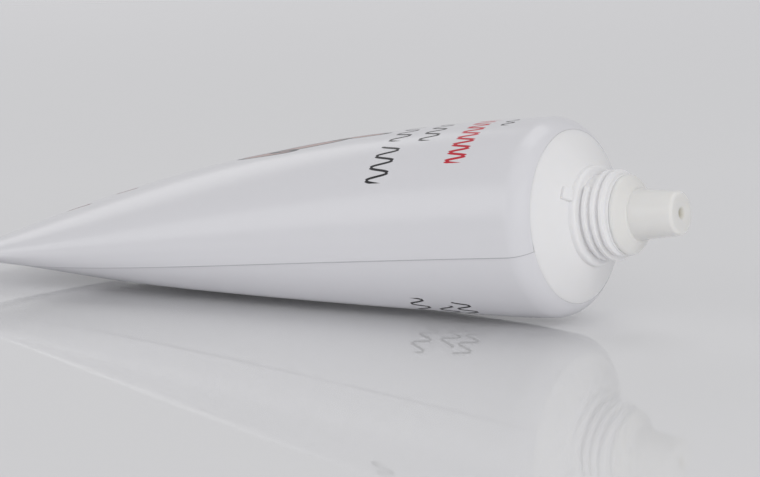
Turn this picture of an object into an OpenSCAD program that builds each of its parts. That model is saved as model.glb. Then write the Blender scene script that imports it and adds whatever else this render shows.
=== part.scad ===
// Cosmetic squeeze tube lying on its belly: laminate sleeve, moulded shoulder with a threaded
// neck, nozzle insert and the cream inside. Millimetres, +X towards the nozzle, +Z up.

/* [Sleeve] */
// Outside diameter of the round end
tube_d = 32; // [28:0.5:38]
// Length of the filled part, from the round end to the tail weld
fill_len = 111.5; // [90:0.5:135]
// Length of the flat tail weld
weld_len = 4; // [3:0.5:9]
// Thickness of the laminate
wall = 0.45; // [0.35:0.05:0.8]
// Radius that curls the sleeve over the shoulder
rim_r = 4.4; // [3:0.1:6]
// How far the curl turns before the sleeve ends
rim_turn = 60; // [50:1:70]
// How late the sleeve starts to flatten towards the tail
taper_power = 2.05; // [1.6:0.05:2.4]
// How sharp the wedge at the tail is
taper_root = 0.82; // [0.65:0.01:0.95]
// Step at the open edge of the lap seam
lap_step = 0.15; // [0.1:0.05:0.3]
// How far round the sleeve the seam lies below the side
seam_drop = 3.9; // [0:0.1:8]

/* [Shoulder] */
// Thickness of the shoulder's cone
shoulder_wall = 1.1; // [0.8:0.1:1.8]
// Length of the skirt that is welded inside the sleeve
skirt_len = 3; // [1.5:0.5:6]
// How much the skirt narrows towards its end
skirt_taper = 0.3; // [0.3:0.05:0.6]
// Radius of the bead at the foot of the neck
bead_r = 8; // [7.8:0.1:9]
// Length of the bead along the neck
bead_len = 1.1; // [1:0.1:2.5]
// Radius that rounds the bead's front edge
bead_round = 0.5; // [0.2:0.1:0.8]
// Width of the nub beside the bead
nub_w = 2; // [1:0.1:3]
// Length of the nub down the cone
nub_len = 1.6; // [1:0.1:3]
// Height of the nub over the cone
nub_h = 0.8; // [0.4:0.1:1.2]
// How far the nub lies above the side, around the neck
nub_turn = 32; // [0:1:60]

/* [Neck] */
// Radius of the neck under its thread
neck_r = 6.45; // [6.3:0.05:6.8]
// Length of the neck in front of the bead
neck_len = 5; // [4.8:0.1:8]
// Radius of the neck's bore
bore_r = 5.2; // [4.6:0.1:5.4]
// Radius over the thread's crest
thread_r = 7.15; // [7:0.05:7.5]
// Pitch of the thread
thread_pitch = 1.5; // [1.4:0.1:1.8]
// Turns of the thread
thread_turns = 2.35; // [1:0.05:2.35]
// Width of the thread where it leaves the neck
thread_foot = 1.1; // [0.8:0.1:1.3]
// Width of the thread at its crest
thread_crest = 0.5; // [0.2:0.1:0.7]
// Where the thread starts, above the side of the tube
thread_turn = 50; // [0:1:90]

/* [Nozzle insert] */
// Radius of the collar that covers the neck's end
collar_r = 6.3; // [6:0.1:6.7]
// Thickness of the collar's edge
collar_edge = 0.2; // [0.2:0.05:0.8]
// Radius that rounds the foot of the collar's dome
dome_round = 0.8; // [0.4:0.1:1.2]
// Slope of the dome against the tube's axis
dome_turn = 54; // [45:1:60]
// Radius at the top of the dome, which leaves a small ledge round the nozzle
dome_top_r = 4.4; // [4.2:0.05:4.7]
// Length of the plug inside the neck
plug_len = 4; // [2:0.5:6]
// Thickness of the insert's wall
insert_wall = 0.9; // [0.6:0.1:1.3]
// Length of the nozzle in front of the dome
nozzle_len = 7.35; // [4:0.05:12]
// Radius of the nozzle where it leaves the dome
nozzle_foot_r = 4; // [3.6:0.05:4.1]
// Radius of the nozzle's tip
nozzle_tip_r = 3.45; // [2.8:0.05:3.9]
// Radius that rounds the tip's edge
tip_round = 0.6; // [0.2:0.1:1]
// Radius of the hole in the tip
hole_r = 0.35; // [0.25:0.05:0.6]
// Length of the hole, which is the thickness of the tip
hole_len = 1.4; // [0.8:0.1:2.5]
// Radius of the shallow dish around the hole
dish_r = 0.9; // [0.7:0.05:1.4]

/* [Pose] */
// Slope of the tube's axis, up towards the nozzle
tilt = 5.6; // [3.5:0.1:7]
// Turn of the flat tail about the tube's axis
roll = 1.5; // [-4:0.1:4]
// Height of the sleeve's round end over the floor
rim_lift = 0.1; // [0:0.05:0.5]
// Height over which the belly bends where it meets the floor
belly_soft = 1.2; // [0.4:0.1:2]

/* [Hidden] */

// Facets of the turned pieces, and of the sleeve around and along
$fn = 96;
sides = 48;
stations = 22;
round_steps = 7;
turn_steps = 36;

// Clearances between the pieces, and from the bead to the thread
weld_gap = 0.06;
plug_gap = 0.03;
cream_gap = 0.06;
thread_gap = 0.24;
// How far the thread and the nub reach into what carries them
bite = 0.3;
// Distance over which the belly's flat fades out towards the round end
press_fade = 20;
// Length of the cavity's end that the weld closes
weld_root = 0.5;
// Turn between the two edges of the lap's step
lap_slope = 0.6;
// Turn over which the thread's far end runs out
end_turn = 40;

tube_r = tube_d / 2;
// A closed curve's length is near 2 PI times the mean of this power of its half axes
round_power = ln(2) / ln(PI / 2);

// The curl starts at x = 0, and the cone leaves its end in the same direction
lip_x = rim_r * sin(rim_turn);
lip_r = tube_r - rim_r * (1 - cos(rim_turn));
cone_rise = 1 / tan(rim_turn);
function cone_x(r) = lip_x + (lip_r - r) * cone_rise;
cone_thick = shoulder_wall / sin(rim_turn);
skirt_r = tube_r - wall - weld_gap;
hollow_r = skirt_r - shoulder_wall;
neck_x = cone_x(bead_r) + bead_len;
neck_end = neck_x + neck_len;
collar_x = neck_end + plug_gap;
dome_x = collar_x + collar_edge;
foot_x = dome_x + dome_round * sin(dome_turn);
foot_r = collar_r - dome_round * (1 - cos(dome_turn));
nozzle_x = foot_x + (foot_r - dome_top_r) / tan(dome_turn);
tip_x = nozzle_x + nozzle_len;
plug_r = bore_r - plug_gap;
plug_x = collar_x - plug_len;
hole_x = tip_x - hole_len;

// The tube's own frame has x along its axis, from the round end towards the nozzle. lay() and
// lying() put a point or a solid into the pose, with the origin under the object's middle.
axis_h = tube_r * cos(tilt) + rim_lift;
tail_len = fill_len + weld_len;
front_x = tip_x * cos(tilt) + (nozzle_tip_r - tip_round) * sin(tilt);
tail_x = tail_len * cos(tilt) + half_width(wall) * sin(abs(roll)) * sin(tilt);
mid_x = (tail_x - front_x) / 2;

function lay(p) =
    let (out = p.y * sin(roll) + p.z * cos(roll))
    [mid_x + p.x * cos(tilt) - out * sin(tilt),
     p.y * cos(roll) - p.z * sin(roll),
     axis_h + p.x * sin(tilt) + out * cos(tilt)];

module lying() {
    translate([mid_x, 0, axis_h])
        rotate([0, -tilt, 0])
            rotate([roll, 0, 0])
                children();
}

// Half height and half width of the sleeve at a distance from the round end
function half_height(s) =
    s >= fill_len ? wall
    : wall + (tube_r - wall) * pow(1 - pow(s / fill_len, taper_power), taper_root);
function half_width(b) =
    pow(2 * pow(tube_r, round_power) - pow(b, round_power), 1 / round_power);

// Stations along the sleeve, closer together towards the tail
function station(i) =
    let (u = i / stations)
    fill_len * (u + sin(90 * u)) / 2;

// The seam keeps its distance from the side while the section flattens
function seam_turn(w, b) =
    let (reach = w * w + b * b - seam_drop * seam_drop)
    acos(reach / (w * w + sqrt(pow(w, 4) - (w * w - b * b) * reach)));
function ring_turn(w, b, i) =
    seam_turn(w, b) + 360 * i / sides - (i == sides ? lap_slope : 0);
function lap(i) = i == sides ? lap_step : 0;

// The floor lifts what would lie below it, with a soft bend round a true flat
function lifted(z, soft) =
    z >= soft ? z
    : z <= -soft ? 0
    : pow(z + soft, 2) / (4 * soft);
function floor_rise(p, s) =
    lifted(p.z, belly_soft * min(1, s / press_fade)) - p.z;

// One ring of the sleeve's body, inset from its outer face
function body_ring(s, inset, step) =
    let (b = half_height(s), w = half_width(b))
    [for (i = [0:sides])
        let (turn = ring_turn(w, b, i),
             deep = inset - lap(i) * step,
             skin = lay([-s, -w * cos(turn), -b * sin(turn)]),
             point = lay([-s, -(w - deep) * cos(turn), -(b - deep) * sin(turn)]))
        point + [0, 0, floor_rise(skin, s)]];

// One round ring in front of the body
function round_ring(x, r, step) =
    [for (i = [0:sides])
        let (turn = ring_turn(tube_r, tube_r, i), out = r + lap(i) * step)
        lay([x, -out * cos(turn), -out * sin(turn)])];

// The curl's rings, from the lip back to the body
function curl_rings(inset) =
    [for (k = [round_steps:-1:1])
        let (turn = rim_turn * k / round_steps)
        round_ring((rim_r - inset) * sin(turn),
                   tube_r - rim_r + (rim_r - inset) * cos(turn), 1)];

function flatten(lists) = [for (list = lists) for (item = list) item];
function reversed(list) = [for (i = [len(list) - 1:-1:0]) list[i]];

// A closed skin over rings with the same number of points, with a flat cap at each end. A filling
// is slanted, so that its facets lie along those of the wall round it.
module skinned(rings, slanted = false) {
    count = len(rings[0]);
    last = (len(rings) - 1) * count;
    walls = [for (k = [0:len(rings) - 2]) for (i = [0:count - 1])
        let (a = k * count + i, b = k * count + (i + 1) % count)
        each slanted ? [[a, b, b + count], [a, b + count, a + count]]
            : [[a, b, a + count], [b, b + count, a + count]]];
    first_cap = [for (i = [count - 1:-1:0]) i];
    last_cap = [for (i = [0:count - 1]) last + i];
    polyhedron(flatten(rings), concat(walls, [first_cap], [last_cap]), convexity = 6);
}

// An outline of points [x along the axis, radius], turned about the axis
module turned(outline) {
    rotate([0, 90, 0])
        rotate_extrude()
            polygon([for (p = outline) [p[1], p[0]]]);
}

// A quarter-round front edge of a turned outline, from the side to the front face
function front_edge(x, r, edge) =
    [for (k = [0:round_steps])
        let (turn = 90 * k / round_steps)
        [x - edge * (1 - sin(turn)), r - edge * (1 - cos(turn))]];

module tube_sleeve() {
    inner = concat(curl_rings(wall),
                   [for (i = [0:stations - 1]) body_ring(station(i), wall, 1)],
                   [body_ring(fill_len - weld_root, wall, 1)]);
    outer = concat(curl_rings(0),
                   [for (i = [0:stations]) body_ring(station(i), 0, 1)],
                   [body_ring(tail_len, 0, 1)]);
    color("white") skinned(concat(reversed(inner), outer));
}

// The head without its thread: skirt, curl seat, cone, bead and neck, round a bore
module head() {
    seat_r = rim_r - wall - weld_gap;
    seat_turn = rim_turn + weld_gap / rim_r * 180 / PI;
    seat = [for (k = [0:round_steps])
        let (turn = seat_turn * k / round_steps)
        [seat_r * sin(turn), tube_r - rim_r + seat_r * cos(turn)]];
    flush = [rim_r * sin(seat_turn), tube_r - rim_r + rim_r * cos(seat_turn)];
    turned(concat([[-skirt_len, skirt_r - skirt_taper]], seat, [flush],
                  [[cone_x(bead_r), bead_r]],
                  front_edge(neck_x, bead_r, bead_round),
                  [[neck_x, neck_r], [neck_end, neck_r], [neck_end, bore_r]],
                  [[cone_x(bore_r) - cone_thick, bore_r]],
                  [[cone_x(hollow_r) - cone_thick, hollow_r]],
                  [[-skirt_len, hollow_r]]));
}

// One section of the thread, at a turn counted from its start. Its flanks go on under the neck.
thread_flank = (thread_foot - thread_crest) / 2 / (thread_r - neck_r);
// The neck's length limits the turns
turns = min(thread_turns,
            (neck_len - thread_gap - thread_foot - thread_flank * bite) / thread_pitch);
function thread_ring(turn) =
    let (rise = min(1, (360 * turns - turn) / end_turn),
         x = neck_x + thread_gap + thread_foot / 2 + thread_pitch * turn / 360,
         root = thread_foot / 2 + thread_flank * bite,
         crest = neck_r + (thread_r - neck_r) * rise,
         side = thread_turn - turn)
    [for (p = [[-root, neck_r - bite], [-thread_crest / 2, crest],
               [thread_crest / 2, crest], [root, neck_r - bite]])
        [x + p[0], -p[1] * cos(side), p[1] * sin(side)]];

module thread() {
    skinned([for (k = [0:turn_steps * turns]) thread_ring(360 * k / turn_steps)]);
}

// A small square block that lies on the cone against the bead
module nub() {
    rotate([-nub_turn, 0, 0])
        translate([cone_x(bead_r), -bead_r, 0])
            rotate([0, 0, rim_turn - 90])
                translate([-bite, -nub_len, -nub_w / 2])
                    cube([nub_h + bite, nub_len + bite, nub_w]);
}

module shoulder() {
    color("ghostwhite") lying() {
        union() {
            head();
            thread();
            nub();
        }
    }
}

// Hollow of the nozzle, from the plug's open end to the hole in the tip
channel_foot_r = nozzle_foot_r - insert_wall;
channel_tip_r = nozzle_tip_r - insert_wall;
module nozzle_insert() {
    dome = [for (k = [0:round_steps])
        let (turn = dome_turn * k / round_steps)
        [dome_x + dome_round * sin(turn), collar_r - dome_round * (1 - cos(turn))]];
    color("ivory") lying()
        turned(concat([[plug_x, plug_r - insert_wall], [plug_x, plug_r]],
                      [[collar_x, plug_r], [collar_x, collar_r]], dome,
                      [[nozzle_x, dome_top_r], [nozzle_x, nozzle_foot_r]],
                      front_edge(tip_x, nozzle_tip_r, tip_round),
                      [[tip_x, dish_r], [tip_x - dish_r + hole_r, hole_r]],
                      [[hole_x, hole_r], [hole_x, channel_tip_r]],
                      [[nozzle_x, channel_foot_r], [dome_x, plug_r - insert_wall]]));
}

module cream() {
    fill_r = hollow_r - cream_gap;
    fill_turn = cone_thick + cream_gap;
    front = [for (p = [[plug_x - cream_gap, plug_r - cream_gap],
                       [cone_x(bore_r) - fill_turn, bore_r - cream_gap],
                       [cone_x(hollow_r) - fill_turn, fill_r],
                       [-skirt_len - cream_gap, fill_r]])
        round_ring(p[0], p[1], 0)];
    body = [for (i = [1:stations - 1]) body_ring(station(i), wall + cream_gap, 0)];
    color("seashell") skinned(concat(front, body), true);
}

tube_sleeve();
shoulder();
nozzle_insert();
cream();
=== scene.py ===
import bpy
import math
import numpy as np
from mathutils import Matrix, Vector


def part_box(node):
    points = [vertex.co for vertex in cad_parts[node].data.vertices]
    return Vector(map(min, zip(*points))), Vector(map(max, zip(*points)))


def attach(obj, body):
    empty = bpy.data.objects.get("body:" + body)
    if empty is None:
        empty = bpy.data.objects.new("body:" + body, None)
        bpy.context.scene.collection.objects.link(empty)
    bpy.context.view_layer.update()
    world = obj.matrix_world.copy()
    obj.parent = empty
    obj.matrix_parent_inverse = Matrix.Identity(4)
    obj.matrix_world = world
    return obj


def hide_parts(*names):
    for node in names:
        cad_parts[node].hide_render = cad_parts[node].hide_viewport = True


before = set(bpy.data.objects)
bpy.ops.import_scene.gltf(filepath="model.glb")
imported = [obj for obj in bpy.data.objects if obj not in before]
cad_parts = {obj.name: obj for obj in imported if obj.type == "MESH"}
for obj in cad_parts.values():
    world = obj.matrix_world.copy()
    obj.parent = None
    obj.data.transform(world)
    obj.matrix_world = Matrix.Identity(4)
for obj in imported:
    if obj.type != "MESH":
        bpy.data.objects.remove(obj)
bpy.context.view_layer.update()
mm = 0.001

# lengths are in millimetres and turns in degrees until a piece is put in its place.
# the tube's own frame has x along the axis, from the round end towards the nozzle
sleeve = {
    "radius": 16.0,
    "length": 111.5,        # from the round end to the weld
    "weld": 4.0,
    "wall": 0.45,
    "rimRadius": 4.4,       # the curl over the shoulder
    "rimTurn": 60.0,
    "taperPower": 2.05,
    "taperRoot": 0.82,
    "seamDrop": 3.9,        # the seam runs this far below the side
    "lapStep": 0.15,        # height of the lap's edge, and the width over which it rises
    "lapWidth": 2.1,
    "weldRoot": 0.5,
    "around": 240,
    "along": 150,
    "alongInside": 40,
    "curlSteps": 12,
    "weldSteps": 4,
    "arcSamples": 1440,
    "smooth": 30.0,         # edges sharper than this stay sharp
}
pose = {
    "tilt": 5.6,
    "roll": 1.5,
    "rimLift": 0.1,
    "bellySoft": 1.2,       # height over which the belly bends to its flat
    "pressFade": 20.0,      # length over which that bend sharpens towards the round end
}


def sinOf(degrees):
    return math.sin(math.radians(degrees))


def cosOf(degrees):
    return math.cos(math.radians(degrees))


girth = 2 * math.pi * sleeve["radius"]
ringPower = math.log(2) / math.log(math.pi / 2)
lipX = sleeve["rimRadius"] * sinOf(sleeve["rimTurn"])
lipR = sleeve["radius"] - sleeve["rimRadius"] * (1 - cosOf(sleeve["rimTurn"]))
coneRise = cosOf(sleeve["rimTurn"]) / sinOf(sleeve["rimTurn"])


def coneX(r):
    return lipX + (lipR - r) * coneRise


def halfHeight(s):
    left = max(0.0, 1 - min(1.0, s / sleeve["length"]) ** sleeve["taperPower"])
    return sleeve["wall"] + (sleeve["radius"] - sleeve["wall"]) * left ** sleeve["taperRoot"]


def halfWidth(b):
    return (2 * sleeve["radius"] ** ringPower - b ** ringPower) ** (1 / ringPower)


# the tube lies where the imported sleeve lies
tailReach = ((sleeve["length"] + sleeve["weld"]) * cosOf(pose["tilt"])
             + halfWidth(sleeve["wall"]) * sinOf(pose["roll"]) * sinOf(pose["tilt"]))
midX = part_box("tube_sleeve")[0].x / mm + tailReach
axisHeight = sleeve["radius"] * cosOf(pose["tilt"]) + pose["rimLift"]
tubeTurn = (Matrix.Rotation(math.radians(-pose["tilt"]), 4, "Y")
            @ Matrix.Rotation(math.radians(pose["roll"]), 4, "X"))
tubePlace = Matrix.Translation((midX, 0, axisHeight)) @ tubeTurn
toMetres = Matrix.Scale(mm, 4)
# the head sits a hair to the near side
headShift = 0.03
headPlace = tubePlace @ Matrix.Translation((0, -headShift, 0))


def startFresh():
    if bpy.context.mode != "OBJECT":
        bpy.ops.object.mode_set(mode="OBJECT")
    bpy.ops.object.select_all(action="DESELECT")


def named(piece, name):
    piece.name = name
    piece.data.name = name
    return piece


def applied(piece, kind, name, **settings):
    modifier = piece.modifiers.new(name, kind)
    for key, value in settings.items():
        setattr(modifier, key, value)
    startFresh()
    piece.select_set(True)
    bpy.context.view_layer.objects.active = piece
    bpy.ops.object.modifier_apply(modifier=modifier.name)
    return piece


def smoothed(piece, turn):
    startFresh()
    piece.select_set(True)
    bpy.context.view_layer.objects.active = piece
    bpy.ops.object.shade_smooth_by_angle(angle=math.radians(turn))
    return piece


def finished(piece, replaced, smooth):
    smoothed(piece, smooth)
    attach(piece, "root")
    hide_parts(replaced)
    print("made", piece.name, len(piece.data.polygons), "faces")
    return piece


# the sleeve is a flat sheet, wrapped round, lapped along the side, curled in at the front and
# pressed together at the tail

def arcTurns(w, b, shares):
    # turns round an oval from its near side, down first, at shares of its length
    turns = np.linspace(0, 2 * np.pi, sleeve["arcSamples"] + 1)
    steps = np.hypot(w * np.sin(turns), b * np.cos(turns))
    lengths = np.concatenate([[0], np.cumsum((steps[1:] + steps[:-1]) / 2)])
    lengths = lengths / lengths[-1]
    return np.interp(shares % 1, lengths, turns) + 2 * np.pi * np.floor(shares)


def lifted(z, soft):
    if soft < 1e-6:
        return np.maximum(z, 0)
    bend = (z + soft) ** 2 / (4 * soft)
    return np.where(z >= soft, z, np.where(z <= -soft, 0, bend))


def sheetRow(x, w, b, inset, soft):
    # one row of the sheet: an oval at x along the axis, and the floor's push on its outer face
    count = sleeve["around"]
    shares = sleeve["seamDrop"] / girth + np.arange(count + 1) / count
    turns = arcTurns(w, b, shares)
    rise = np.clip(1 - (count - np.arange(count + 1)) * girth / count / sleeve["lapWidth"], 0, 1)
    out = rise * sleeve["lapStep"] - inset

    def ring(extra):
        flat = np.stack([np.full(count + 1, x), -(w + extra) * np.cos(turns),
                         -(b + extra) * np.sin(turns), np.ones(count + 1)])
        return (np.array(tubePlace) @ flat)[:3].T

    row = ring(out)
    if soft is not None:
        skin = ring(0)[:, 2]
        row[:, 2] += lifted(skin, soft) - skin
    return row


def curlRow(turn, inset):
    r = sleeve["rimRadius"] - inset
    ringR = sleeve["radius"] - sleeve["rimRadius"] + r * cosOf(turn)
    return sheetRow(r * sinOf(turn), ringR, ringR, 0, None)


def bodyRow(s, inset):
    b = halfHeight(s)
    soft = pose["bellySoft"] * min(1, s / pose["pressFade"])
    return sheetRow(-s, halfWidth(b), b, inset, soft)


def stations(count, end):
    # closer together towards the tail
    u = np.linspace(0, 1, count + 1)
    return end * (u + np.sin(u * math.pi / 2)) / 2


def makeSleeve():
    wall, count = sleeve["wall"], sleeve["around"]
    curl = np.linspace(sleeve["rimTurn"], 0, sleeve["curlSteps"] + 1)[:-1]
    inside = [-x for x in stations(sleeve["alongInside"], sleeve["length"] - sleeve["weldRoot"])]
    weld = sleeve["length"] + sleeve["weld"] * np.linspace(0, 1, sleeve["weldSteps"] + 1)[1:]
    outside = list(stations(sleeve["along"], sleeve["length"])) + list(weld)
    rows = [bodyRow(-x, wall) for x in reversed(inside)]
    places = [-x for x in reversed(inside)]
    rows += [curlRow(turn, wall) for turn in reversed(curl)]
    places += [-sleeve["rimRadius"] * math.radians(turn) for turn in reversed(curl)]
    rows += [curlRow(turn, 0) for turn in curl]
    places += [-sleeve["rimRadius"] * math.radians(turn) for turn in curl]
    rows += [bodyRow(s, 0) for s in outside]
    places += outside

    startFresh()
    bpy.ops.mesh.primitive_grid_add(x_subdivisions=count, y_subdivisions=len(rows) - 1, size=1)
    piece = named(bpy.context.active_object, "laminate_sleeve")
    mesh = piece.data
    flat = np.array([vert.co for vert in mesh.vertices])
    column = np.rint((flat[:, 0] + 0.5) * count).astype(int)
    line = np.rint((flat[:, 1] + 0.5) * (len(rows) - 1)).astype(int)
    # the piece's own UV map is the flat sheet: the distance from the round end, and the height
    # over the seam, both as shares of the printed sheet's sides
    sheetUv = mesh.uv_layers.active
    sheetUv.name = "sheet"
    for loop in mesh.loops:
        vert = loop.vertex_index
        sheetUv.data[loop.index].uv = ((places[line[vert]] + printSheet["front"]) / printSheet["length"],
                                       1 - column[vert] / count)
    wrapped = np.array(rows)[line, column]
    mesh.vertices.foreach_set("co", wrapped.astype(np.float32).ravel())
    mesh.update()

    # the lap: the two long edges are joined by a narrow step
    onLap = (column == 0) | (column == count)
    for edge in mesh.edges:
        a, b = edge.vertices
        edge.select = bool(onLap[a] and onLap[b] and column[a] == column[b])
    for face in mesh.polygons:
        face.select = False
    for vert in mesh.vertices:
        vert.select = bool(onLap[vert.index])
    bpy.ops.object.mode_set(mode="EDIT")
    bpy.ops.mesh.select_mode(type="EDGE")
    bpy.ops.mesh.bridge_edge_loops()
    # the cavity's end and the tail's edge are closed
    bpy.ops.mesh.select_all(action="DESELECT")
    bpy.ops.mesh.select_mode(type="EDGE")
    bpy.ops.mesh.select_non_manifold(extend=False)
    bpy.ops.mesh.fill_holes(sides=0)
    bpy.ops.mesh.select_all(action="SELECT")
    bpy.ops.mesh.normals_make_consistent(inside=False)
    bpy.ops.object.mode_set(mode="OBJECT")
    piece.data.transform(toMetres)
    return piece


# moulded pieces are turned: an outline of (x along the axis, radius), drawn point by point and spun
turning = {
    "merge": 0.004,
    "smooth": 35.0,
    "footRise": 0.12,       # the small hollow where a wall leaves a face
    "footStep": 0.04,
    "footRest": 0.03,
}


def drawOutline(name, outline):
    startFresh()
    bpy.ops.mesh.primitive_plane_add(size=1, location=(0, 0, 0))
    piece = named(bpy.context.active_object, name)
    bpy.ops.object.mode_set(mode="EDIT")
    bpy.ops.mesh.select_mode(type="VERT")
    bpy.ops.mesh.select_all(action="SELECT")
    bpy.ops.mesh.merge(type="CENTER")
    bpy.ops.transform.translate(value=(outline[0][0], 0, outline[0][1]))
    for (x0, r0), (x1, r1) in zip(outline, outline[1:]):
        bpy.ops.mesh.extrude_vertices_move(TRANSFORM_OT_translate={"value": (x1 - x0, 0, r1 - r0)})
    bpy.ops.object.mode_set(mode="OBJECT")
    return piece


def spinOutline(piece, steps):
    bpy.context.view_layer.objects.active = piece
    bpy.ops.object.mode_set(mode="EDIT")
    bpy.ops.mesh.select_all(action="SELECT")
    bpy.ops.mesh.spin(steps=steps, angle=2 * math.pi, center=(0, 0, 0), axis=(1, 0, 0))
    bpy.ops.mesh.select_all(action="SELECT")
    bpy.ops.mesh.remove_doubles(threshold=turning["merge"])
    bpy.ops.mesh.select_all(action="SELECT")
    bpy.ops.mesh.normals_make_consistent(inside=False)
    bpy.ops.object.mode_set(mode="OBJECT")
    return piece


def arc(cx, cr, radius, start, end, steps):
    # points on an arc round (cx, cr); 0 points away from the axis and 90 towards the nozzle
    turns = [start + (end - start) * k / steps for k in range(steps + 1)]
    return [(cx + radius * sinOf(t), cr + radius * cosOf(t)) for t in turns]


def straight(start, end, steps):
    return [(start[0] + (end[0] - start[0]) * k / steps, start[1] + (end[1] - start[1]) * k / steps)
            for k in range(1, steps + 1)]


def foot(x, r):
    return [(x, r + turning["footRise"]), (x + turning["footStep"], r + turning["footRest"])]


shoulder = {
    "wall": 1.1,
    "skirt": 3.0,
    "skirtTaper": 0.3,      # the skirt narrows towards its end
    "gap": 0.06,            # clearance to the sleeve
    "lipGap": 0.03,         # what is seen of it at the lip
    "beadR": 8.0,
    "beadLength": 1.1,
    "beadRound": 0.55,
    "neckR": 6.45,
    "neckLength": 5.0,
    "neckRound": 0.1,
    "neckRoundStart": 15.0,
    "boreR": 5.2,
    "around": 240,
    "neckSteps": 96,
}
thread = {
    "radius": 7.15,
    "pitch": 1.5,
    "turns": 2.35,
    "foot": 1.1,
    "crest": 0.5,
    "start": 50.0,          # above the near side
    "gap": 0.24,            # clearance to the bead
    "runOut": 40.0,
}
nub = {
    "width": 2.0,
    "length": 1.6,          # down the cone
    "height": 0.8,
    "turn": 32.0,           # above the near side
    "bite": 0.3,
    "round": 0.22,
}
neckX = coneX(shoulder["beadR"]) + shoulder["beadLength"]
neckEnd = neckX + shoulder["neckLength"]
coneWall = shoulder["wall"] / sinOf(sleeve["rimTurn"])


def threadHeight(x, side):
    # how far the thread stands over the neck, at x and at a turn above the near side
    turned = (thread["start"] - side) % 360
    best = 0.0
    while turned <= 360 * thread["turns"]:
        middle = neckX + thread["gap"] + thread["foot"] / 2 + thread["pitch"] * turned / 360
        flank = (thread["foot"] / 2 - abs(x - middle)) / ((thread["foot"] - thread["crest"]) / 2)
        flank = max(0.0, min(1.0, flank))
        ease = flank * flank * (3 - 2 * flank)
        rise = min(1.0, (360 * thread["turns"] - turned) / thread["runOut"])
        best = max(best, ease * rise)
        turned += 360
    return best * (thread["radius"] - shoulder["neckR"])


def makeShoulder():
    seatR = sleeve["rimRadius"] - sleeve["wall"] - shoulder["gap"]
    skirtR = sleeve["radius"] - sleeve["wall"] - shoulder["gap"]
    hollowR = skirtR - shoulder["wall"]
    rimMid = sleeve["radius"] - sleeve["rimRadius"]
    edgeTurn = sleeve["rimTurn"] + math.degrees(shoulder["lipGap"] / sleeve["rimRadius"])
    edge = (sleeve["rimRadius"] * sinOf(edgeTurn), rimMid + sleeve["rimRadius"] * cosOf(edgeTurn))
    neckR, neckRound, beadRound = shoulder["neckR"], shoulder["neckRound"], shoulder["beadRound"]
    outline = [(-shoulder["skirt"], skirtR - shoulder["skirtTaper"])]
    outline += arc(0, rimMid, seatR, 0, edgeTurn, steps=10)
    outline += [edge]
    outline += straight(edge, (coneX(shoulder["beadR"]), shoulder["beadR"]), steps=12)
    outline += arc(neckX - beadRound, shoulder["beadR"] - beadRound, beadRound, 0, 90, steps=8)
    outline += foot(neckX, neckR)
    outline += straight((neckX + turning["footStep"], neckR), (neckEnd - neckRound, neckR),
                        steps=shoulder["neckSteps"])
    outline += arc(neckEnd - neckRound, neckR - neckRound, neckRound, shoulder["neckRoundStart"], 90,
                   steps=4)
    outline += [(neckEnd, shoulder["boreR"]), (coneX(shoulder["boreR"]) - coneWall, shoulder["boreR"]),
                (coneX(hollowR) - coneWall, hollowR), (-shoulder["skirt"], hollowR)]
    outline += [outline[0]]
    piece = spinOutline(drawOutline("moulded_shoulder", outline), shoulder["around"])

    # the thread is raised from the neck's fine rings
    for vert in piece.data.vertices:
        x, r = vert.co.x, math.hypot(vert.co.y, vert.co.z)
        if neckX < x < neckEnd and r > neckR - neckRound / 2:
            side = math.degrees(math.atan2(vert.co.z, -vert.co.y))
            grown = (r + threadHeight(x, side)) / r
            vert.co.y *= grown
            vert.co.z *= grown

    # the nub: a small block against the bead, with softened edges
    startFresh()
    bpy.ops.mesh.primitive_cube_add(size=1)
    block = named(bpy.context.active_object, "nub")
    size = (nub["height"] + nub["bite"], nub["length"] + nub["bite"], nub["width"])
    block.data.transform(Matrix.Translation((nub["height"] / 2 - nub["bite"] / 2,
                                             nub["bite"] / 2 - nub["length"] / 2, 0))
                         @ Matrix.Diagonal((*size, 1)))
    applied(block, "BEVEL", "softEdges", width=nub["round"], segments=3)
    block.data.transform(Matrix.Rotation(math.radians(-nub["turn"]), 4, "X")
                         @ Matrix.Translation((coneX(shoulder["beadR"]), -shoulder["beadR"], 0))
                         @ Matrix.Rotation(math.radians(sleeve["rimTurn"] - 90), 4, "Z"))
    applied(piece, "BOOLEAN", "joinNub", operation="UNION", object=block, solver="EXACT")
    bpy.data.objects.remove(block)
    piece.data.transform(toMetres @ headPlace)
    return piece


insert = {
    "plugGap": 0.03,
    "plug": 4.0,
    "wall": 0.9,
    "collarR": 6.3,
    "collarEdge": 0.2,
    "domeRound": 0.8,
    "domeTurn": 54.0,
    "domeTopR": 4.4,
    "footR": 4.0,
    "tipR": 3.45,
    "length": 7.35,
    "tipRound": 0.6,
    "collarEdgeCut": 0.06,
    "domeTopCut": 0.12,
    "domeTopRound": 0.16,
    "domeTopDrop": 0.06,
    "holeR": 0.35,
    "holeLength": 1.4,
    # depth under the tip and radius, down the dish round the hole
    "dish": [(0.0, 1.15), (0.02, 1.0), (0.08, 0.9), (0.55, 0.38), (0.61, 0.35)],
    "residueAndShadeR": 1.15,
    "around": 192,
}


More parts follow.
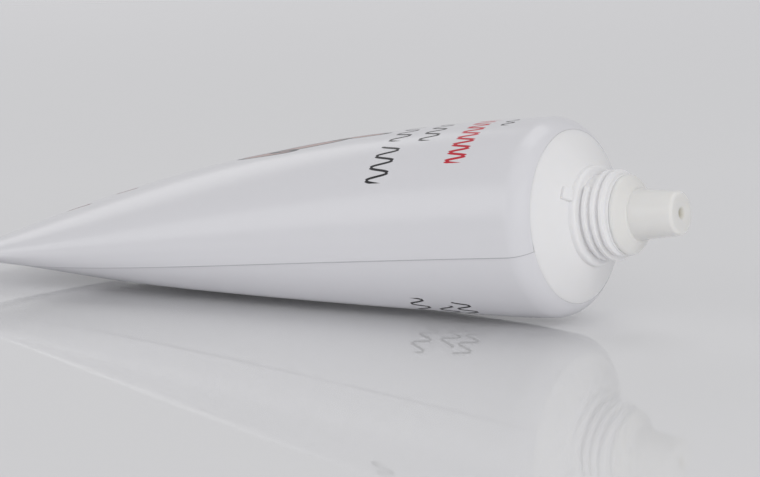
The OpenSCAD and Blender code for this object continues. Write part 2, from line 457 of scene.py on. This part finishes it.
def makeInsert():
    i = insert
    plugR = shoulder["boreR"] - i["plugGap"]
    collarX = neckEnd + i["plugGap"]
    domeX = collarX + i["collarEdge"]
    dome = arc(domeX, i["collarR"] - i["domeRound"], i["domeRound"], 0, i["domeTurn"], steps=8)
    nozzleX = dome[-1][0] + (dome[-1][1] - i["domeTopR"]) / math.tan(math.radians(i["domeTurn"]))
    tipX = nozzleX + i["length"]
    hollowR = plugR - i["wall"]
    outline = [(collarX - i["plug"], hollowR), (collarX - i["plug"], plugR), (collarX, plugR)]
    cut, topCut = i["collarEdgeCut"], i["domeTopCut"]
    outline += [(collarX, i["collarR"] - cut), (collarX + cut, i["collarR"])]
    outline += dome
    outline += straight(dome[-1], (nozzleX - topCut, i["domeTopR"] + topCut), steps=6)
    outline += arc(nozzleX - i["domeTopRound"], i["domeTopR"] - i["domeTopDrop"], i["domeTopRound"], 45, 90,
                   steps=4)
    outline += foot(nozzleX, i["footR"])
    footEnd = (nozzleX + turning["footRise"], i["footR"])
    outline += [footEnd]
    outline += straight(footEnd, (tipX - i["tipRound"], i["tipR"]), steps=8)
    outline += arc(tipX - i["tipRound"], i["tipR"] - i["tipRound"], i["tipRound"], 0, 90, steps=10)[1:]
    outline += [(tipX - depth, r) for depth, r in i["dish"]]
    outline += [(tipX - i["holeLength"], i["holeR"]), (tipX - i["holeLength"], i["tipR"] - i["wall"]),
                (nozzleX, i["footR"] - i["wall"]), (domeX, hollowR), (collarX - i["plug"], hollowR)]
    piece = spinOutline(drawOutline("nozzle", outline), i["around"])
    # the hole and its dish are painted darker and yellowish: partly dried cream, partly painted shade in
    # the hole
    residueAndShade = piece.data.attributes.new("residueAndShade", "FLOAT", "POINT")
    for vert in piece.data.vertices:
        away = math.hypot(vert.co.y, vert.co.z)
        near = (i["residueAndShadeR"] - away) / (i["residueAndShadeR"] - i["holeR"])
        inTip = vert.co.x > tipX - i["holeLength"] - turning["merge"]
        residueAndShade.data[vert.index].value = max(0.0, min(1.0, near)) if inTip else 0.0
    piece.data.transform(toMetres @ headPlace)
    return piece


# a wire wraps one socket, so that shader maths reads as Python

class Wire:
    def __init__(self, paint, socket):
        self.paint = paint
        self.socket = socket

    def sum(self, operation, *values):
        return self.paint.node("ShaderNodeMath", {"operation": operation}, dict(enumerate(values)))

    def __add__(self, other):
        return self.sum("ADD", self, other)

    def __radd__(self, other):
        return self.sum("ADD", other, self)

    def __sub__(self, other):
        return self.sum("SUBTRACT", self, other)

    def __rsub__(self, other):
        return self.sum("SUBTRACT", other, self)

    def __mul__(self, other):
        return self.sum("MULTIPLY", self, other)

    def __rmul__(self, other):
        return self.sum("MULTIPLY", other, self)

    def __truediv__(self, other):
        return self.sum("DIVIDE", self, other)

    def __rtruediv__(self, other):
        return self.sum("DIVIDE", other, self)


class Paint:
    def __init__(self, owner):
        # the owner is a material or a world
        self.owner = owner
        owner.use_nodes = True
        self.tree = owner.node_tree
        self.tree.nodes.clear()

    def node(self, kind, settings=None, values=None, output=0):
        made = self.tree.nodes.new(kind)
        for key, value in (settings or {}).items():
            setattr(made, key, value)
        for key, value in (values or {}).items():
            socket = made.inputs[key]
            if isinstance(value, Wire):
                self.tree.links.new(value.socket, socket)
            else:
                socket.default_value = (*value, 1) if socket.type == "RGBA" else value
        return None if output is None else Wire(self, made.outputs[output])

    def place(self):
        return self.node("ShaderNodeTexCoord", output="Object")

    def noise(self, at, scale, detail=2.0, roughness=0.5):
        return self.node("ShaderNodeTexNoise", {}, {"Vector": at, "Scale": scale, "Detail": detail,
                                                    "Roughness": roughness})

    def ease(self, value, low, high, start=0.0, end=1.0):
        # goes smoothly from start to end while the value goes from low to high
        return self.node("ShaderNodeMapRange", {"interpolation_type": "SMOOTHSTEP"},
                         {"Value": value, "From Min": low, "From Max": high,
                          "To Min": start, "To Max": end})

    def inside(self, value, low, high, soft):
        past = self.ease(value, low - soft, low + soft)
        return past * self.ease(value, high - soft, high + soft, 1.0, 0.0)

    def blend(self, share, first, second):
        # 6, 7 and output 2 are the Mix node's colour sockets
        return self.node("ShaderNodeMix", {"data_type": "RGBA"}, {0: share, 6: first, 7: second}, 2)

    def clouded(self, cloud, colour, shares):
        low, high = (tuple(share * c for c in colour) for share in shares)
        return self.blend(cloud, low, high)

    def seenDirectly(self):
        # 1 for what the camera sees, straight or in a mirror, and 0 for light that is on its way
        seen = self.node("ShaderNodeLightPath")
        path = seen.socket.node
        for flag in ("Is Glossy Ray", "Is Transmission Ray"):
            seen = seen.sum("MAXIMUM", seen, Wire(self, path.outputs[flag]))
        return seen

    def bump(self, height, strength, distance):
        return self.node("ShaderNodeBump", {}, {"Height": height, "Strength": strength,
                                                "Distance": distance})

    def finish(self, values):
        return self.close(self.node("ShaderNodeBsdfPrincipled", {}, values))

    def close(self, shader, kind="ShaderNodeOutputMaterial"):
        self.node(kind, {}, {"Surface": shader}, None)
        return self.owner


def newPaint(name):
    return Paint(bpy.data.materials.new(name))


# the print is a pattern of waves, petals and short dashes. places on the sheet are the distance
# from the round end and the height over the seam
printSheet = {
    "front": 10.0,          # the sheet starts this far in front of the round end
    "length": 130.0,
    "ink": (0.016, 0.016, 0.018),
    "red": (0.53, 0.012, 0.03),
    "blush": (0.40, 0.27, 0.25),
    "umber": (0.17, 0.055, 0.045),
    # the lap's edge: a narrow grey band, partly the laminate's grey cut edge and partly painted shade along
    # the lap's edge
    "cutEdgeAndShade": (0.44, 0.44, 0.47),
    "cutEdgeShadeWidth": 0.11,
    "softEdge": 0.05,
    "petalEdge": 0.13,
    # middle, swing, period, where each starts and ends, stroke
    "inkWaves": [(24.5, 1.7, 2.5, 12.8, 20.9, 0.5), (24.5, 1.5, 2.5, 22.3, 29.0, 0.5),
                 (18.3, 1.4, 2.3, 21.6, 31.0, 0.5), (5.0, 0.8, 1.6, 25.0, 28.2, 0.4),
                 (20.9, 1.3, 2.4, 71.0, 92.6, 0.45), (16.4, 1.3, 2.4, 69.0, 90.2, 0.45),
                 (12.9, 1.3, 2.4, 74.0, 91.4, 0.45)],
    "redWaves": [(10.4, 1.3, 1.8, 15.8, 31.0, 0.6)],
    # middle, height, half length, half width, turn
    "petals": [(53.5, 25.3, 6.6, 1.2, 7.0), (45.0, 26.4, 7.4, 1.4, -5.0), (35.5, 27.6, 6.2, 0.9, 4.0)],
    # from, to, low, high
    "dashes": [(89.0, 94.6, 17.9, 18.9), (80.5, 85.6, 21.2, 22.1)],
}
laminate = {
    "white": (0.728, 0.725, 0.758),
    "clouds": 38.0,         # scales of the noises, a metre
    "wear": 90.0,
    "peel": 420.0,
    "cloudShares": (0.985, 1.012),
    "roughness": 0.2,
    "wearRoughness": 0.05,
    "peelStrength": 0.05,
    "peelDepth": 0.0002,
}
refraction = 1.5


def drawWave(paint, s, h, middle, swing, period, low, high, stroke):
    turns = (h - low) * (2 * math.pi / period)
    offset = s - middle - turns.sum("SINE", turns) * swing
    slope = turns.sum("COSINE", turns) * (swing * 2 * math.pi / period)
    steep = 1.0 + slope * slope
    away = offset.sum("ABSOLUTE", offset) / steep.sum("SQRT", steep)
    soft = printSheet["softEdge"]
    line = paint.ease(away, stroke / 2 - soft, stroke / 2 + soft, 1.0, 0.0)
    return line * paint.inside(h, low, high, soft)


def petalReach(s, h, middle, height, long, wide, turn):
    # 1 on the petal's edge
    along = (s - middle) * cosOf(turn) + (h - height) * sinOf(turn)
    across = (h - height) * cosOf(turn) - (s - middle) * sinOf(turn)
    square = (along / long) * (along / long) + (across / wide) * (across / wide)
    return square.sum("SQRT", square)


def heaped(masks):
    whole = masks[0]
    for mask in masks[1:]:
        whole = whole.sum("MAXIMUM", whole, mask)
    return whole


def makeLaminate():
    paint = newPaint("white_laminate")
    uv = paint.node("ShaderNodeUVMap", {"uv_map": "sheet"})
    split = paint.node("ShaderNodeSeparateXYZ", {}, {0: uv})
    s = split * printSheet["length"] - printSheet["front"]
    h = Wire(paint, split.socket.node.outputs[1]) * girth
    at = paint.place()
    soft, edge = printSheet["softEdge"], printSheet["petalEdge"]

    petals = [petalReach(s, h, *petal) for petal in printSheet["petals"]]
    blush = heaped([paint.ease(petal, 1 - soft, 1 + soft, 1.0, 0.0) for petal in petals])
    outline = [paint.inside(petal, 1 - edge, 1 + edge, soft) for petal in petals]
    ink = heaped(outline + [drawWave(paint, s, h, *wave) for wave in printSheet["inkWaves"]])
    red = heaped([drawWave(paint, s, h, *wave) for wave in printSheet["redWaves"]])
    umber = heaped([paint.inside(s, start, end, 6 * soft) * paint.inside(h, low, high, soft)
                    for start, end, low, high in printSheet["dashes"]])
    # a narrow band along the lap's edge is painted grey: the cut edge's grey core and painted shade
    cut = paint.ease(h, printSheet["cutEdgeShadeWidth"] - soft, printSheet["cutEdgeShadeWidth"] + soft, 1.0, 0.0)

    colour = paint.clouded(paint.noise(at, laminate["clouds"]), laminate["white"], laminate["cloudShares"])
    for share, name in ((cut, "cutEdgeAndShade"), (blush, "blush"), (umber, "umber"), (red, "red"), (ink, "ink")):
        colour = paint.blend(share, colour, printSheet[name])
    peel = paint.noise(at, laminate["peel"], detail=3.0)
    roughness = laminate["roughness"] + paint.noise(at, laminate["wear"]) * laminate["wearRoughness"]
    bump = paint.bump(peel, laminate["peelStrength"], laminate["peelDepth"])
    return paint.finish({"Base Color": colour, "Roughness": roughness, "Normal": bump, "IOR": refraction})


satin = {"name": "satin_polyethylene", "colour": (0.855, 0.85, 0.86), "roughness": 0.34, "glow": 0.25}
translucent = {"name": "translucent_polyethylene", "colour": (0.80, 0.792, 0.778), "roughness": 0.3,
               "glow": 0.45}
soft = {"name": "soft_cream", "colour": (0.86, 0.84, 0.79), "roughness": 0.45, "glow": 0.3}
moulding = {
    # colour in the hole and its dish: dried cream and painted shade
    "residueAndShade": (0.50, 0.47, 0.38),
    "residueAndShadeShare": 0.8,
    "clouds": 160.0,
    "cloudShares": (0.975, 1.02),
    "cloudRoughness": 0.1,
    "grain": 2600.0,
    "grainStrength": 0.06,
    "grainDepth": 0.0001,
    "glowReach": (1.0, 0.95, 0.85),
    "glowDepth": 0.0012,
}


def makeMoulding(kind, stainedAndShaded=False):
    paint = newPaint(kind["name"])
    at = paint.place()
    cloud = paint.noise(at, moulding["clouds"], detail=3.0)
    base = paint.clouded(cloud, kind["colour"], moulding["cloudShares"])
    if stainedAndShaded:
        # the hole and its dish are painted darker and yellowish: dried cream and painted shade in the hole
        residueAndShade = paint.node("ShaderNodeAttribute", {"attribute_name": "residueAndShade"}, output=2)
        base = paint.blend(residueAndShade * moulding["residueAndShadeShare"], base, moulding["residueAndShade"])
    grain = paint.noise(at, moulding["grain"], detail=3.0)
    bump = paint.bump(grain, moulding["grainStrength"], moulding["grainDepth"])
    roughness = kind["roughness"] + cloud * moulding["cloudRoughness"]
    return paint.finish({"Base Color": base, "Roughness": roughness, "Normal": bump,
                         "IOR": refraction, "Subsurface Weight": kind["glow"],
                         "Subsurface Radius": moulding["glowReach"],
                         "Subsurface Scale": moulding["glowDepth"]})


def dressed(piece, material):
    piece.data.materials.clear()
    piece.data.materials.append(material)
    for face in piece.data.polygons:
        face.material_index = 0


sleevePiece = finished(makeSleeve(), "tube_sleeve", sleeve["smooth"])
dressed(sleevePiece, makeLaminate())
shoulderPiece = finished(makeShoulder(), "shoulder", turning["smooth"])
dressed(shoulderPiece, makeMoulding(satin))
insertPiece = finished(makeInsert(), "nozzle_insert", turning["smooth"])
dressed(insertPiece, makeMoulding(translucent, stainedAndShaded=True))
dressed(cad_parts["cream"], makeMoulding(soft))
print("pieces dressed")


# the floor is a clear sheet on a glossy white base: the tube rests on the sheet, at 0, and the
# base under it is what mirrors the tube
floor = {
    "thick": 1.4,
    "sheetDrop": 0.02,      # the sheet's face lies a hair under the tube
    "half": 3.0,
    "clouds": 6.0,
    "cloudShares": (0.99, 1.0),
    "seen": (0.815, 0.815, 0.83),
    "bounced": (0.93, 0.93, 0.94),
    "roughness": 0.035,
    "sheetGloss": 0.012,
    "sheetRoughness": 0.05,
}


def makePlane(name, height):
    startFresh()
    bpy.ops.mesh.primitive_plane_add(size=2 * floor["half"], location=(0, 0, 0))
    plane = named(bpy.context.active_object, name)
    plane.data.transform(Matrix.Translation((0, 0, height * mm)))
    return plane


def makeFloor():
    base = makePlane("floor", -floor["thick"])
    paint = newPaint("glossy_white_base")
    cloud = paint.noise(paint.place(), floor["clouds"])
    shown = paint.clouded(cloud, floor["seen"], floor["cloudShares"])
    colour = paint.blend(paint.seenDirectly(), floor["bounced"], shown)
    dressed(base, paint.finish({"Base Color": colour, "Roughness": floor["roughness"], "IOR": refraction}))

    sheet = makePlane("clear_sheet", -floor["sheetDrop"])
    paint = newPaint("clear_sheet")
    clear = paint.node("ShaderNodeBsdfTransparent")
    gloss = paint.node("ShaderNodeBsdfGlossy", {}, {"Roughness": floor["sheetRoughness"]})
    mixed = paint.node("ShaderNodeMixShader", {}, {0: floor["sheetGloss"], 1: clear, 2: gloss})
    dressed(sheet, paint.close(mixed))


makeFloor()

# softboxes face the origin. an unmirrored one isn't seen in glossy surfaces
lights = {
    "world": 0.365,
    "backdrop": (0.63, 0.628, 0.645),
    "distance": 1.5,
    "boxes": [
        {"name": "frontLeft", "azimuth": 230, "elevation": 20, "size": (1.3, 0.7), "power": 3.3,
         "mirrored": True},
        {"name": "backLeft", "azimuth": 155, "elevation": 31, "size": (0.78, 0.52), "power": 1.0,
         "mirrored": True},
        {"name": "backFill", "azimuth": 140, "elevation": 16, "size": (1.0, 0.8), "power": 2.6,
         "mirrored": False},
        {"name": "frontRight", "azimuth": -38, "elevation": 21, "size": (1.1, 1.0), "power": 10.2,
         "mirrored": False},
        {"name": "overhead", "azimuth": 90, "elevation": 72, "size": (1.0, 1.0), "power": 3.6,
         "mirrored": True},
    ],
}


def makeWorld():
    # the backdrop is what is seen, and a plain white world gives the light
    world = bpy.data.worlds.new("tent")
    bpy.context.scene.world = world
    paint = Paint(world)
    light = paint.node("ShaderNodeBackground", {}, {"Color": (1, 1, 1), "Strength": lights["world"]})
    shown = paint.node("ShaderNodeBackground", {}, {"Color": lights["backdrop"]})
    mixed = paint.node("ShaderNodeMixShader", {}, {0: paint.seenDirectly(), 1: light, 2: shown})
    paint.close(mixed, "ShaderNodeOutputWorld")


def makeSoftbox(box):
    # azimuth is counted from +X towards +Y
    data = bpy.data.lights.new(box["name"], "AREA")
    data.shape = "RECTANGLE"
    data.size, data.size_y = box["size"]
    data.energy = box["power"]
    lamp = bpy.data.objects.new(box["name"], data)
    bpy.context.scene.collection.objects.link(lamp)
    lamp.visible_camera = False
    lamp.visible_glossy = box["mirrored"]
    flat = lights["distance"] * cosOf(box["elevation"])
    lamp.location = (flat * cosOf(box["azimuth"]), flat * sinOf(box["azimuth"]),
                     lights["distance"] * sinOf(box["elevation"]))
    lamp.rotation_euler = (-Vector(lamp.location)).to_track_quat("-Z", "Y").to_euler()


makeWorld()
for box in lights["boxes"]:
    makeSoftbox(box)

camera = {
    "aim": (11.75, 0.0, 9.94),     # the point of the tube in the middle of the picture
    "distance": 402.0,
    "azimuth": 35.35,              # from the near side towards the nozzle
    "elevation": 9.2,
    "roll": -1.21,
    "lens": 113.7,
    "sensor": 36.0,
}


def makeCamera():
    data = bpy.data.cameras.new("camera")
    data.lens = camera["lens"]
    data.sensor_width = camera["sensor"]
    seen = bpy.data.objects.new("camera", data)
    bpy.context.scene.collection.objects.link(seen)
    back = Vector((sinOf(camera["azimuth"]) * cosOf(camera["elevation"]),
                   -cosOf(camera["azimuth"]) * cosOf(camera["elevation"]), sinOf(camera["elevation"])))
    seen.location = (Vector(camera["aim"]) + back * camera["distance"]) * mm
    facing = (-back).to_track_quat("-Z", "Y").to_matrix().to_4x4()
    turn = facing @ Matrix.Rotation(math.radians(camera["roll"]), 4, "Z")
    seen.rotation_euler = turn.to_euler()
    bpy.context.scene.camera = seen


makeCamera()
bpy.context.scene.view_settings.view_transform = "Standard"
print("stage, lights and camera set")
